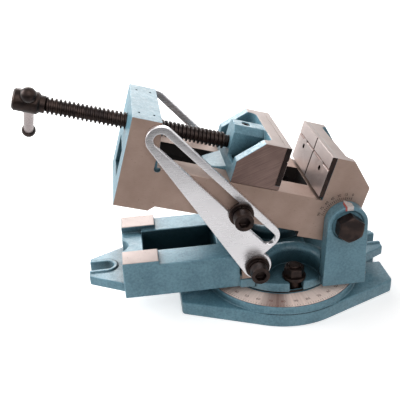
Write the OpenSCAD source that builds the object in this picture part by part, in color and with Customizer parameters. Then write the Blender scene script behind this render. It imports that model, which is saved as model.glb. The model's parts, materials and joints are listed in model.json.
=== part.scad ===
// Tilting drill press vise on a swivel base, in millimetres.
// The origin is the swivel axis on the table, +X points to the fixed jaw's end and +Y to the rear arm.
// The vise is drawn tilted, in a frame of its own: u along the screw, y across, w square to the rails,
// with its zero on the tilt axis.

/* [Base] */
// Half length of the base plate
base_half_len = 112; // [100:1:130]
// Half width of the base plate's straight ends
base_end_half_w = 44.5; // [38:0.5:52]
// Radius of the base plate's round middle
base_r = 84.5; // [84:0.5:92]
// Thickness of the base plate
base_t = 15; // [13:0.5:20]
// Radius of the base plate's corners
base_corner_r = 5; // [2:0.5:8]
// Radius of the boss that carries the degree ring
boss_r = 83; // [78:0.5:84]
// Height of the degree ring above the table
ring_z = 22.5; // [20:0.5:26]
// Radius of the seat under the flange
seat_r = 58.5; // [58:0.5:61.5]
// Height of the seat above the degree ring
seat_rise = 3.2; // [2:0.1:5]
// Width of the open slots at the base's ends
base_slot_w = 16; // [12:0.5:18]
// Distance from the swivel axis to the centre of a base slot's round end
base_slot_x = 97; // [95:0.5:104]
// Radius of the centre pin
pin_r = 10; // [7:0.5:14]
// Thickness of the base under the centre pin
pin_floor_t = 5; // [4:0.5:8]
// Height of the centre pin's top above the seat
pin_rise = 9; // [6:0.5:10]

/* [Clamp bolts] */
// Radius of the circle that the clamp bolts run on
clamp_circle_r = 50; // [48:0.5:50.5]
// Distance of the clamp bolts from the middle of the body, towards the fixed jaw
clamp_x = 3.5; // [0:0.5:5]
// Thread diameter of the clamp bolts
clamp_d = 12; // [10:1:14]
// Radius of a clamp bolt's round T-head
t_head_r = 10.5; // [9:0.5:10.5]
// Height of a clamp bolt's T-head
t_head_h = 6.5; // [5:0.5:7]
// Height of the T-slot's roof above the table
t_roof_z = 14; // [13:0.5:15]
// Width of the T-slot's neck, and of the notches in the flange
t_neck_w = 14; // [14:0.5:17]
// Width across the flats of the clamp nuts
clamp_nut_af = 18; // [16:0.5:20]
// Height of the clamp nuts
clamp_nut_h = 9.5; // [8:0.5:10]
// Length of thread above a clamp nut
clamp_thread_out = 2; // [0.5:0.5:2]

/* [Swivel body] */
// Radius of the flange
flange_r = 62; // [61:0.5:64]
// Thickness of the flange
flange_t = 10; // [8:0.5:12]
// Height of the casting's underside outside the flange
body_z = 29.7; // [28:0.1:31]
// Distance from the swivel axis to the end of the rails
rail_end_x = 167.6; // [160:0.5:176]
// Half width over the rails
rail_half_w = 48.2; // [46:0.1:49]
// Half width of the trough between the rails
trough_half_w = 20; // [16:0.5:24]
// Distance from the swivel axis to the trough's inner end
trough_end_x = 70.5; // [66:0.5:80]
// Radius of the trough's corners
trough_corner_r = 2.5; // [2:0.5:8]
// Length of the trough's end wall
end_wall_l = 21.6; // [16:0.2:28]
// Height of the rail tops above the table
rail_z = 66; // [58:0.5:67]
// Drop of the end wall's top below the rails
end_wall_drop = 3; // [1:0.5:6]
// Thickness of the trough's floor
floor_t = 8; // [6:0.5:12]
// Length of the machined rest pads
pad_l = 36; // [24:1:44]
// Width of the machined rest pads
pad_w = 24; // [20:0.5:28]
// Radius of the groove in the end wall
end_groove_r = 13; // [8:0.5:16]
// Depth of the groove in the end wall
end_groove_depth = 6; // [3:0.5:10]
// Distance from the swivel axis to the end of the rails at the pocket
rail_inner_x = 51; // [48:0.5:56]
// Radius of the wrench pockets round the clamp nuts
pocket_r = 26; // [22:0.5:26]
// Width of the ridge round a wrench pocket
ridge_w = 13; // [8:0.5:14]
// Height of the ridge's top above the flange
ridge_h = 21; // [16:0.5:22]
// Height of the hub between the pockets above the flange
hub_h = 8; // [5:0.5:10]
// Reach of the shoulder under an arm's boss, beyond that boss
shoulder_out = 1; // [0.5:0.5:3]

/* [Lugs] */
// Length of the slotted lugs
lug_l = 36; // [30:0.5:42]
// Half width of a lug at its root
lug_root_half_w = 37; // [30:0.5:44]
// Half width of a lug at its tip
lug_tip_half_w = 17; // [15:0.5:24]
// Thickness of the lugs
lug_t = 10.3; // [8:0.1:12]
// Width of the lug slots
lug_slot_w = 14; // [10:0.5:16]
// Distance from a lug's root to the centre of its slot's round end
lug_slot_in = 18; // [17:0.5:22]
// Width of the raised rim round a lug slot
lug_rim_w = 4.5; // [3:0.5:6]
// Height of the raised rim
lug_rim_h = 1.5; // [1:0.1:3]

/* [Pivot] */
// Distance from the swivel axis to the tilt axis
pivot_x = 51.4; // [48:0.1:56]
// Height of the tilt axis above the table
pivot_z = 98.2; // [96:0.1:104]
// Tilt of the vise as drawn, in degrees
tilt = 17.04; // [0:0.01:90]
// Radius of the brackets' round tops
bracket_r = 20; // [17:0.5:22]
// Half length of a bracket at its foot
bracket_foot_half_l = 22; // [20:0.5:26]
// Thickness of the brackets
bracket_t = 14; // [9:0.5:15]
// Diameter of the pivot bolts
pivot_d = 16; // [12:1:18]
// Width across the flats of the pivot bolts' heads
pivot_af = 24; // [20:0.5:25]
// Turn of the pivot bolts' heads as drawn, in degrees
pivot_turn = 41; // [0:1:60]
// Height of the pivot bolts' heads
pivot_head_h = 12; // [8:0.1:13]
// Radius of the counterbore round a pivot bolt's head
pivot_bore_r = 15.5; // [15:0.5:16]
// Depth of that counterbore
pivot_bore_depth = 2; // [1.5:0.5:5]
// Reach of the pivot bolts into the vise
pivot_reach = 24; // [16:1:28]

/* [Vise body] */
// Half width of the vise
vise_half_w = 50; // [49.5:0.5:54]
// Distance from the tilt axis to the vise's screw end
vise_end = 222.5; // [215:0.5:226]
// Distance from the tilt axis to the fixed jaw's back
vise_back = 14; // [12:0.5:20]
// Depth of the foot and of the fixed jaw's underside below the tilt axis
foot_w = 27.5; // [26:0.1:29]
// Length of the foot
foot_l = 32.5; // [28:0.5:36]
// Depth of the rails' underside below the tilt axis
belly_w = 22; // [20:0.5:24]
// Distance from the tilt axis to the step under the fixed jaw
belly_step_u = 40; // [36:0.5:46]
// Height of the rail tops above the tilt axis
rail_w = 16; // [14:0.5:17]
// Thickness of the rails' lips
lip_t = 12; // [9:0.5:14]
// Half width of the gap between the rails
gap_half_w = 21; // [18:0.5:24]
// Half width of the channel under the lips
channel_half_w = 37; // [34:0.5:40]
// Height of the jaw tops above the tilt axis
jaw_top_w = 59.5; // [56:0.5:64]
// Length of the screw block at its top
block_l = 27; // [24:0.5:30]
// Draft of the screw block's inner face
block_draft = 5; // [3:0.5:8]
// Height of the opening's bottom in the screw block, above the foot
block_sill = 13.5; // [8:0.5:18]
// Radius of the name plate's pin holes
plate_pin_r = 1.2; // [0.8:0.1:1.6]
// Half spacing of those holes across the vise
plate_pin_half_y = 33.5; // [28:0.5:38]
// Half spacing of those holes along the vise
plate_pin_half_u = 6.9; // [5:0.1:9]
// Depth of those holes
plate_pin_depth = 10; // [6:0.5:14]

/* [Jaws] */
// Distance from the tilt axis to the fixed jaw plate's face
fixed_face_u = 33; // [32:0.5:36]
// Opening between the jaw plates as drawn
jaw_gap = 40.5; // [20:0.5:46]
// Thickness of the jaw plates
plate_t = 5; // [4:0.5:7]
// Height of the fixed jaw plate's lower edge above the rails
fixed_plate_rise = 2; // [1:0.5:4]
// Depth of the groove in the rails under that plate
foot_groove_depth = 1.5; // [1:0.5:3]
// Width of that groove in front of the plate
foot_groove_out = 1; // [0.5:0.5:2]
// Height of the ledge under the movable jaw's plate above the rails
movable_ledge_h = 5; // [3:0.5:7]
// Length of the fixed jaw's flat top behind its plate
fixed_top_l = 18; // [14:0.5:22]
// Height of the fixed jaw's back edge above the tilt axis
fixed_back_w = 36.5; // [32:0.5:42]
// Length of the movable jaw behind its plate
jaw_l = 43; // [40:0.5:46]
// Length of the movable jaw's flat top
jaw_top_l = 20.5; // [18:0.5:24]
// Height of the movable jaw's back edge above the rails
jaw_back_h = 21.5; // [18:0.5:26]
// Thickness of the movable jaw's side ribs
jaw_rib_t = 11.5; // [8:0.5:14]
// Thickness of the movable jaw's back wall
jaw_back_t = 4; // [3:0.5:7]
// Thickness of the wall behind the movable jaw's plate
jaw_wall_t = 12; // [12:0.5:16]
// Half width of the movable jaw's screw boss
jaw_boss_half_w = 14; // [12:0.5:16]
// Chamfer along the top of that boss
jaw_boss_chamfer = 6; // [4:0.5:7]
// Drop of that boss's top below the jaw's top
jaw_boss_drop = 1; // [0.5:0.5:3]
// Length of the movable jaw's ramp between the rails
ramp_l = 18; // [10:0.5:20]
// Half width of the ramp's tip
ramp_tip_half_w = 14; // [10:0.5:18]
// Half spacing of the jaw plate screws
plate_screw_y = 28; // [22:0.5:36]
// Depth of the jaw plate screws below the jaw tops
plate_screw_drop = 20.5; // [18:0.5:28]
// Thread diameter of the jaw plate and keeper screws
plate_screw_d = 8; // [6:1:8]
// Length of the jaw plate screws
plate_screw_l = 14; // [10:0.5:15]
// Depth of the grooves in the jaw plates
groove_depth = 1.2; // [0.6:0.1:2]
// Height of the level groove below the jaw tops
groove_drop = 13.5; // [8:0.5:18]
// Half width of the keeper plate
keeper_half_w = 34; // [32:0.5:35]
// Length of the keeper plate
keeper_l = 34; // [30:1:36]
// Thickness of the keeper plate
keeper_t = 8; // [6:0.5:9]
// Half spacing of the keeper screws
keeper_screw_u = 9; // [8:0.5:10]

/* [Screw and handle] */
// Outer diameter of the screw's thread
screw_d = 16; // [14:0.5:18]
// Pitch of the screw's thread
screw_pitch = 4; // [3:0.5:5]
// Depth of the screw's thread
thread_depth = 2; // [1.2:0.1:2.4]
// Height of the screw above the tilt axis
screw_w = 37.5; // [36:0.5:40]
// Length of the screw from the movable jaw's back to its head
screw_l = 181; // [150:1:190]
// Length of the screw's head
head_l = 24.5; // [22:0.5:34]
// Diameter of the screw's head
head_d = 21; // [19:0.5:24]
// Length of the screw's plain shank next to its head
shank_l = 5; // [2:0.5:10]
// Diameter of the screw's plain shank
shank_d = 16.5; // [14:0.5:18.5]
// Diameter of the screw's plain end in the jaw
spigot_d = 12; // [10:0.5:12]
// Length of the screw's plain end
spigot_l = 26; // [22:0.5:28]
// Diameter of the jaw's set screw
set_screw_d = 8; // [6:1:8]
// Distance of the set screw from the movable jaw's back
set_screw_u = 13; // [10:0.5:15]
// Diameter of the handle bar
bar_d = 10; // [8:0.5:11]
// Diameter of the handle's balls
ball_d = 14.5; // [14:0.5:18]
// Distance between the centres of the handle's balls
bar_l = 98; // [80:1:130]
// Lean of the handle as drawn, towards the front
bar_lean = 50; // [0:1:90]
// Distance of the handle from the middle of the screw's head, towards the jaw
bar_off = 2; // [-3:0.5:3]

/* [Arms] */
// Distance of an arm's lower bolt from the swivel axis
arm_bolt_x = 36; // [34:0.5:38]
// Height of an arm's lower bolt above the table
arm_bolt_z = 58; // [56:0.5:60]
// Distance from the tilt axis to an upper bolt along the vise
lock_u = 104.3; // [102:0.1:106]
// Depth of an upper bolt below the tilt axis
lock_w = 10.6; // [8:0.1:13]
// Distance of the slot's line from the arm's lower bolt
slot_off = 28.5; // [24:0.5:30]
// Width of the arm's slot
slot_w = 13; // [13:0.5:14]
// Length of slot below the upper bolt's lowest place
slot_spare = 3.5; // [0.5:0.5:4]
// Width of metal round the slot
arm_rim = 7; // [5:0.5:8]
// Radius of the arm's lower end
arm_end_r = 14.5; // [13:0.5:15]
// Thickness of the arms
arm_t = 6; // [5:0.5:8]
// Thread diameter of the arm bolts
arm_d = 12; // [10:1:12]
// Diameter of the arm bolts' heads
arm_head_d = 18; // [16:0.5:18]
// Height of the arm bolts' heads
arm_head_h = 12; // [9:0.5:13]
// Width across the flats of the arm bolts' sockets
socket_af = 10; // [8:0.5:10]
// Depth of those sockets
socket_depth = 6; // [4:0.5:7]
// Height of the machined bosses under the arms above the table
arm_boss_z = 72; // [71:0.5:73]

/* [Washers] */
// Outer diameter of the flat washers
washer_d = 24; // [22:0.5:24]
// Thickness of the flat washers
washer_t = 3.5; // [2:0.5:4]
// Outer diameter of the spring washers
spring_washer_d = 20; // [18:0.5:21]
// Thickness of the spring washers
spring_washer_t = 3; // [2:0.5:4]

/* [Fits] */
// Gap between pieces that move past each other
gap = 0.3; // [0.2:0.05:0.5]
// Radial clearance of shafts and pins in their bores
fit = 0.06; // [0.02:0.01:0.1]

/* [Hidden] */
$fn = 72;
paint = "#7fa3ad";
iron = "#948379";
steel = "#c9ccd0";
black = "#332c2b";

// Overlap that makes a cut run clear through a face
cut = 1;
// Straight pieces in a rounded corner, and in an arm's long arc
corner_steps = 6;
arc_steps = 24;

// Heights above the table
seat_z = ring_z + seat_rise;
flange_z = seat_z + gap;
flange_top_z = flange_z + flange_t;
lug_z = body_z + lug_t;
pad_z = pivot_z - foot_w - gap;
ridge_z = flange_top_z + ridge_h;

// Distance of the clamp bolts across the body
clamp_y = sqrt(pow(clamp_circle_r, 2) - pow(clamp_x, 2));

// Depth of the T-slot's floor and width of its lower part
t_floor_z = t_roof_z - gap - t_head_h - 2 * gap;
t_slot_half_w = t_head_r + 2 * gap;

// Faces of the brackets and arms on one side
bracket_in_y = vise_half_w + gap;
bracket_out_y = bracket_in_y + bracket_t;
arm_in_y = vise_half_w + gap;
arm_out_y = arm_in_y + arm_t;
washer_in_y = arm_out_y + gap;
washer_out_y = washer_in_y + washer_t;
arm_head_in_y = washer_out_y + spring_washer_t;
arm_boss_r = arm_end_r;
bracket_end_x = pivot_x + bracket_foot_half_l;

// Places along the vise, negative towards the handle
block_in_u = block_l - vise_end;
fixed_plate_back = plate_t - fixed_face_u;
movable_face = -fixed_face_u - jaw_gap;
movable_plate_back = movable_face - plate_t;
jaw_back = movable_plate_back - jaw_l;
jaw_wall_back = movable_plate_back - jaw_wall_t;
jaw_floor_w = rail_w + gap;
head_end = jaw_back - screw_l - head_l;
bar_u = head_end + head_l / 2 + bar_off;
lip_w = rail_w - lip_t;
keeper_top_w = lip_w - gap;
keeper_mid_u = jaw_back + cut + keeper_l / 2;
thread_root_r = screw_d / 2 - thread_depth;
ball_seat = head_d / 2 + sqrt(pow(ball_d / 2, 2) - pow(bar_d / 2 + fit, 2)) + gap;

// The linkage of the arms: the upper bolt seen from the lower one at a given tilt
function lock_at(t) = [
    pivot_x - cos(t) * lock_u - sin(t) * lock_w + arm_bolt_x,
    pivot_z + sin(t) * lock_u - cos(t) * lock_w - arm_bolt_z
];
function slot_place(t) = sqrt(pow(norm(lock_at(t)), 2) - pow(slot_off, 2));
function rise_of(v) = atan2(v.y, -v.x);
slot_rise = rise_of(lock_at(tilt)) - asin(slot_off / norm(lock_at(tilt)));
// The two bolts of an arm, in x and z
arm_bolt_at = [-arm_bolt_x, arm_bolt_z];
lock_bolt_at = arm_bolt_at + lock_at(tilt);

// Outline helpers
function unit(v) = v / norm(v);
function corner(a, b, c, r) =
    let (
        p = unit(a - b),
        q = unit(c - b),
        half = acos(p * q) / 2,
        centre = b + unit(p + q) * r / sin(half),
        first = b + p * r / tan(half) - centre,
        last = b + q * r / tan(half) - centre,
        start = atan2(first.y, first.x),
        swing = atan2(first.x * last.y - first.y * last.x, first * last)
    )
    [for (i = [0:corner_steps])
        centre + r * [cos(start + swing * i / corner_steps), sin(start + swing * i / corner_steps)]];
function rounded(pts, r) = [
    for (i = [0:len(pts) - 1])
        each corner(pts[(i + len(pts) - 1) % len(pts)], pts[i], pts[(i + 1) % len(pts)], r)
];
function mirrored_y(pts) = concat(pts, [for (i = [len(pts) - 1:-1:0]) [pts[i].x, -pts[i].y]]);
function tangent_point(p, c, r, side) =
    let (d = p - c, a = atan2(d.y, d.x) + side * acos(r / norm(d)))
    c + r * [cos(a), sin(a)];

// A flat shape in x and z, between two places across the vise
module slab(y0, y1) {
    translate([0, y1, 0])
        rotate([90, 0, 0])
            linear_extrude(y1 - y0)
                children();
}

// A block between two corners
module block(low, high) {
    translate(low)
        cube(high - low);
}

// The tilted frame of the vise
module tilted() {
    translate([pivot_x, 0, pivot_z])
        rotate([0, tilt, 0])
            children();
}

// The same shape on the front and on the rear
module both_sides() {
    for (side = [0, 1])
        mirror([0, side, 0])
            children();
}

// A washer lying on z = 0
module washer(d, hole_d, t) {
    difference() {
        cylinder(d = d, h = t);
        translate([0, 0, -cut])
            cylinder(d = hole_d, h = t + 2 * cut);
    }
}

// A hexagon of a given width across its flats
module hex(af, h) {
    cylinder(r = af / sqrt(3), h = h, $fn = 6);
}

// A socket screw, its head's seat at z = 0 and its shank below
module socket_screw(d, head_d, head_h, l, af, depth) {
    difference() {
        union() {
            cylinder(d = head_d, h = head_h);
            translate([0, 0, -l])
                cylinder(d = d, h = l + cut);
        }
        translate([0, 0, head_h - depth])
            hex(af, depth + cut);
    }
}

// Base

module base_outline() {
    p = [base_half_len, base_end_half_w];
    q = tangent_point(p, [0, 0], base_r, 1);
    half = [p, q, [-q.x, q.y], [-p.x, p.y]];
    polygon(rounded(mirrored_y(half), base_corner_r));
    circle(base_r);
}

module end_slot(x, w, reach) {
    translate([x, 0])
        circle(d = w);
    translate([x, -w / 2])
        square([reach, w]);
}

module swivel_base() {
    color(paint)
    difference() {
        union() {
            linear_extrude(base_t)
                base_outline();
            cylinder(r = boss_r, h = ring_z);
            cylinder(r = seat_r, h = seat_z);
        }
        translate([0, 0, pin_floor_t])
            cylinder(r = pin_r + fit, h = seat_z);
        rotate_extrude()
            translate([clamp_circle_r - t_slot_half_w, t_floor_z])
                square([2 * t_slot_half_w, t_roof_z - t_floor_z]);
        rotate_extrude()
            translate([clamp_circle_r - t_neck_w / 2, t_floor_z])
                square([t_neck_w, seat_z - t_floor_z + cut]);
        for (turn = [0, 180])
            rotate(turn)
                translate([0, 0, -cut])
                    linear_extrude(base_t + 2 * cut)
                        end_slot(base_slot_x, base_slot_w, base_half_len);
    }
}

module swivel_pin() {
    color(steel)
    translate([0, 0, pin_floor_t])
        cylinder(r = pin_r, h = seat_z + pin_rise - pin_floor_t);
}

// Swivel body

module lug_outline() {
    polygon([
        [-cut, -lug_root_half_w], [lug_l, -lug_tip_half_w],
        [lug_l, lug_tip_half_w], [-cut, lug_root_half_w]
    ]);
}

module lug() {
    difference() {
        union() {
            linear_extrude(lug_t)
                lug_outline();
            linear_extrude(lug_t + lug_rim_h)
                intersection() {
                    end_slot(lug_slot_in, lug_slot_w + 2 * lug_rim_w, lug_l);
                    lug_outline();
                }
        }
        translate([0, 0, -cut])
            linear_extrude(lug_t + lug_rim_h + 2 * cut)
                end_slot(lug_slot_in, lug_slot_w, lug_l);
    }
}

module rails() {
    difference() {
        union() {
            block([-rail_end_x, -rail_half_w, body_z], [-rail_inner_x, rail_half_w, rail_z]);
            both_sides()
                block([-rail_end_x, rail_half_w - pad_w, body_z], [pad_l - rail_end_x, rail_half_w, pad_z]);
        }
        translate([0, 0, body_z + floor_t])
            linear_extrude(pad_z)
                polygon(rounded(
                    mirrored_y([[end_wall_l - rail_end_x, trough_half_w], [-trough_end_x, trough_half_w]]),
                    trough_corner_r
                ));
        block(
            [-rail_end_x - cut, pad_w - rail_half_w, rail_z - end_wall_drop],
            [end_wall_l - rail_end_x, rail_half_w - pad_w, pad_z + cut]
        );
        translate([end_groove_depth - rail_end_x - end_groove_r, 0, lug_z])
            cylinder(r = end_groove_r, h = pad_z);
    }
}

module ridge_section() {
    translate([pocket_r, flange_z])
        square([ridge_w, ridge_z - ridge_w / 2 - flange_z]);
    translate([pocket_r + ridge_w / 2, ridge_z - ridge_w / 2])
        circle(d = ridge_w);
}

// Half a ring round a wrench pocket, run on into the bracket
module pocket_ridge() {
    translate([clamp_x, -clamp_y, 0]) {
        rotate_extrude(angle = 180)
            ridge_section();
        rotate([90, 0, 0])
            linear_extrude(bracket_in_y - clamp_y + cut)
                ridge_section();
    }
}

module bracket_outline() {
    top = [pivot_x, pivot_z];
    foot = [bracket_foot_half_l, body_z - pivot_z];
    left = top + [-foot.x, foot.y];
    right = top + foot;
    polygon([
        left, right, tangent_point(right, top, bracket_r, 1),
        top, tangent_point(left, top, bracket_r, -1)
    ]);
    translate(top)
        circle(bracket_r);
}

module swivel_body_solid() {
    translate([0, 0, flange_z])
        cylinder(r = flange_r, h = flange_t);
    rails();
    translate([-rail_end_x, 0, body_z])
        mirror([1, 0, 0])
            lug();
    translate([bracket_end_x, 0, body_z])
        lug();
    block(
        [-rail_inner_x - cut, -clamp_y, body_z],
        [pivot_x - bracket_foot_half_l, clamp_y, flange_top_z + hub_h]
    );
    block(
        [pivot_x - bracket_foot_half_l, -bracket_out_y, body_z],
        [bracket_end_x, bracket_out_y, lug_z]
    );
    both_sides() {
        block(
            [-arm_bolt_x - arm_boss_r, -vise_half_w, body_z],
            [-pocket_r, pocket_r - clamp_y, arm_boss_z]
        );
        block(
            [-rail_inner_x - cut, -vise_half_w - shoulder_out, body_z],
            [-arm_bolt_x, -rail_half_w + cut, lug_z]
        );
        slab(-bracket_out_y, -bracket_in_y)
            bracket_outline();
        pocket_ridge();
    }
}

module swivel_body() {
    color(paint)
    difference() {
        swivel_body_solid();
        translate([0, 0, flange_z - cut])
            cylinder(r = pin_r + fit, h = pin_rise + cut);
        both_sides() {
            translate([clamp_x, -clamp_y, flange_top_z])
                cylinder(r = pocket_r, h = pivot_z);
            block(
                [clamp_x - t_neck_w / 2, -flange_r - cut, flange_z - cut],
                [clamp_x + t_neck_w / 2, -clamp_y, flange_top_z + cut]
            );
            translate([clamp_x, -clamp_y, flange_z - cut])
                cylinder(d = t_neck_w, h = flange_t + 2 * cut);
            translate([-arm_bolt_x, -vise_half_w - cut, arm_bolt_z])
                rotate([-90, 0, 0])
                    cylinder(d = arm_d + 2 * fit, h = vise_half_w - clamp_y + pocket_r);
            translate([pivot_x, -bracket_out_y - cut, pivot_z])
                rotate([-90, 0, 0]) {
                    cylinder(d = pivot_d + 2 * fit, h = bracket_t + 2 * cut);
                    cylinder(r = pivot_bore_r, h = pivot_bore_depth + cut);
                }
        }
    }
}

module t_bolt() {
    color(black)
    translate([clamp_x, -clamp_y, t_roof_z - gap]) {
        translate([0, 0, -t_head_h])
            cylinder(r = t_head_r, h = t_head_h);
        translate([0, 0, -cut])
            cylinder(
                d = clamp_d,
                h = flange_top_z + washer_t + clamp_nut_h + clamp_thread_out - t_roof_z + gap + cut
            );
    }
}

module front_t_bolt() {
    t_bolt();
}

module rear_t_bolt() {
    mirror([0, 1, 0])
        t_bolt();
}

module clamp_nuts() {
    color(black)
    both_sides()
        translate([clamp_x, -clamp_y, flange_top_z + washer_t])
            difference() {
                hex(clamp_nut_af, clamp_nut_h);
                translate([0, 0, -cut])
                    cylinder(d = clamp_d + 2 * fit, h = clamp_nut_h + 2 * cut);
            }
}

module clamp_washers() {
    color(black)
    both_sides()
        translate([clamp_x, -clamp_y, flange_top_z])
            washer(washer_d, clamp_d + 2 * fit, washer_t);
}

// A place on the front side that looks outwards, at a point in x and z
module facing_front(p, y) {
    translate([p.x, -y, p.y])
        rotate([90, 0, 0])
            children();
}

module arm_bolt() {
    color(black)
    facing_front(arm_bolt_at, arm_head_in_y)
        socket_screw(
            arm_d, arm_head_d, arm_head_h,
            arm_head_in_y - clamp_y + pocket_r / 2, socket_af, socket_depth
        );
}

module front_arm_bolt() {
    arm_bolt();
}

module rear_arm_bolt() {
    mirror([0, 1, 0])
        arm_bolt();
}

module arm_bolt_washers() {
    color(black)
    both_sides()
        facing_front(arm_bolt_at, washer_in_y)
            washer(washer_d, arm_d + 2 * fit, washer_t);
}

module arm_bolt_spring_washers() {
    color(black)
    both_sides()
        facing_front(arm_bolt_at, washer_out_y)
            washer(spring_washer_d, arm_d + 2 * fit, spring_washer_t);
}

// The pointer is a thin arrow bent over the front bracket's round top
pointer_half_l = 4;
pointer_t = 0.8;
pointer_off = 1.5;
pointer_flap = 3.5;

module angle_pointer() {
    color("white")
    difference() {
        translate([pivot_x, 0, pivot_z + bracket_r - pointer_flap])
            linear_extrude(pointer_flap + pointer_t)
                polygon([
                    [-pointer_half_l, -bracket_out_y - pointer_t],
                    [pointer_half_l, -bracket_out_y - pointer_t],
                    [pointer_half_l, -bracket_out_y + bracket_t / 2],
                    [-pointer_off, -bracket_in_y],
                    [-pointer_half_l, -bracket_out_y + bracket_t / 2]
                ]);
        slab(-bracket_out_y, cut - bracket_in_y)
            translate([pivot_x, pivot_z])
                circle(bracket_r);
    }
}

// Vise body

module vise_profile() {
    polygon([
        [-vise_end, -foot_w],
        [foot_l - vise_end, -foot_w],
        [foot_l - vise_end + foot_w - belly_w, -belly_w],
        [-belly_step_u, -belly_w],
        [-belly_step_u, -foot_w],
        [vise_back, -foot_w],
        [vise_back, fixed_back_w],
        [fixed_plate_back + fixed_top_l, jaw_top_w],
        [fixed_plate_back, jaw_top_w],
        [fixed_plate_back, rail_w - foot_groove_depth],
        [-fixed_face_u - foot_groove_out, rail_w - foot_groove_depth],
        [-fixed_face_u - foot_groove_out, rail_w],
        [block_in_u + block_draft, rail_w],
        [block_in_u, jaw_top_w],
        [-vise_end, jaw_top_w]
    ]);
}

// The scallop in the fixed jaw's back, and the reliefs beside the screw block
scallop_half_w = 43.5;
scallop_r = 7;
scallop_floor_w = 20;
scallop_wall_t = 12.5;
relief_w = 6;
relief_depth = 3;
relief_drop = 3.5;
relief_rise = 14;

module rail_channel() {
    block(
        [-vise_end - cut, -gap_half_w, block_sill - foot_w],
        [-fixed_face_u, gap_half_w, rail_w - gap]
    );
    block(
        [block_in_u + block_draft, -gap_half_w, block_sill - foot_w],
        [-fixed_face_u, gap_half_w, rail_w + cut]
    );
    block(
        [foot_l - vise_end + foot_w - belly_w, -channel_half_w, -belly_w - cut],
        [-belly_step_u - cut, channel_half_w, lip_w]
    );
}

module jaw_back_scallop() {
    half = [
        [fixed_plate_back + scallop_wall_t, scallop_half_w],
        [vise_back + 2 * scallop_r, scallop_half_w]
    ];
    translate([0, 0, scallop_floor_w])
        linear_extrude(jaw_top_w)
            polygon(rounded(mirrored_y(half), scallop_r));
}

module block_relief() {
    u = block_in_u + block_draft;
    slab(-vise_half_w - cut, relief_depth - vise_half_w) {
        translate([u, rail_w - relief_drop + relief_w / 2])
            circle(d = relief_w);
        translate([u - relief_w / 2, rail_w - relief_drop + relief_w / 2])
            square([relief_w, relief_rise]);
    }
}

module plate_screw_holes(u, l) {
    for (side = [-1, 1])
        translate([u, side * plate_screw_y, plate_screw_w])
            rotate([0, 90, 0])
                cylinder(d = plate_screw_d + 2 * fit, h = l);
}

// Height of the jaw plate screws, and the depth of their holes behind the plates
plate_screw_w = jaw_top_w - plate_screw_drop;
plate_hole_l = plate_screw_l - plate_t + 2 * cut;

module vise_body() {
    color(iron)
    tilted()
    difference() {
        slab(-vise_half_w, vise_half_w)
            vise_profile();
        rail_channel();
        jaw_back_scallop();
        translate([-vise_end - cut, 0, screw_w])
            rotate([0, 90, 0])
                cylinder(d = screw_d + 2 * gap, h = block_l + block_draft + 2 * cut);
        translate([block_l / 2 - vise_end, 0, jaw_top_w - plate_pin_depth])
            for (u = [-plate_pin_half_u, plate_pin_half_u], y = [-plate_pin_half_y, plate_pin_half_y])
                translate([u, y, 0])
                    cylinder(r = plate_pin_r, h = plate_pin_depth + cut);
        plate_screw_holes(fixed_plate_back - cut, plate_hole_l + cut);
        both_sides() {
            block_relief();
            translate([0, -vise_half_w - cut, 0])
                rotate([-90, 0, 0]) {
                    cylinder(d = pivot_d + 2 * fit, h = pivot_reach + 2 * cut);
                    translate([-lock_u, lock_w, 0])
                        cylinder(d = arm_d + 2 * fit, h = vise_half_w - channel_half_w + 2 * cut);
                }
        }
    }
}

// Countersunk heads of the jaw plate screws, and how far they lie below the plate's face
sink_d = 2 * plate_screw_d;
sink_h = (sink_d - plate_screw_d) / 2;
sink_below = 0.1;
plate_socket_af = 5;
plate_socket_depth = 3;
// Width of the square bar that cuts a groove
groove_side = groove_depth * sqrt(2);

// A jaw plate in its own frame: x out of the face, z from the ledge up
module jaw_plate(ledge_w) {
    difference() {
        block([-plate_t, -vise_half_w, ledge_w], [0, vise_half_w, jaw_top_w]);
        translate([0, 0, jaw_top_w - groove_drop])
            rotate([0, 45, 0])
                cube([groove_side, 2 * vise_half_w + cut, groove_side], center = true);
        rotate(45)
            translate([0, 0, jaw_top_w])
                cube([groove_side, groove_side, 2 * jaw_top_w], center = true);
        for (side = [-1, 1])
            translate([0, side * plate_screw_y, plate_screw_w])
                rotate([0, 90, 0]) {
                    translate([0, 0, -plate_t - cut])
                        cylinder(d = plate_screw_d + 2 * fit, h = plate_t + 2 * cut);
                    translate([0, 0, -sink_h])
                        cylinder(d1 = plate_screw_d + 2 * fit, d2 = sink_d + 2 * fit, h = sink_h);
                }
    }
}

// The two countersunk screws of a jaw plate, in the plate's frame
module jaw_plate_screws() {
    for (side = [-1, 1])
        translate([-sink_below, side * plate_screw_y, plate_screw_w])
            rotate([0, 90, 0])
                difference() {
                    union() {
                        translate([0, 0, sink_below - sink_h])
                            cylinder(
                                d1 = plate_screw_d, d2 = sink_d - 2 * sink_below, h = sink_h - sink_below
                            );
                        translate([0, 0, -plate_screw_l])
                            cylinder(d = plate_screw_d, h = plate_screw_l - sink_h / 2);
                    }
                    translate([0, 0, -plate_socket_depth])
                        hex(plate_socket_af, plate_socket_depth + cut);
                }
}

module at_fixed_face() {
    tilted()
        translate([-fixed_face_u, 0, 0])
            mirror([1, 0, 0])
                children();
}

module at_movable_face() {
    tilted()
        translate([movable_face, 0, 0])
            children();
}

module fixed_jaw_plate() {
    color("#b9aca8")
    at_fixed_face()
        jaw_plate(rail_w + fixed_plate_rise);
}

module fixed_jaw_screws() {
    color(black)
    at_fixed_face()
        jaw_plate_screws();
}

module pivot_bolt() {
    seat_y = bracket_out_y - pivot_bore_depth + gap;
    color(black)
    tilted()
    facing_front([0, 0], seat_y) {
        rotate(pivot_turn)
            hex(pivot_af, pivot_head_h);
        translate([0, 0, vise_half_w - pivot_reach - seat_y])
            cylinder(d = pivot_d, h = seat_y - vise_half_w + pivot_reach + cut);
    }
}

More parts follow.
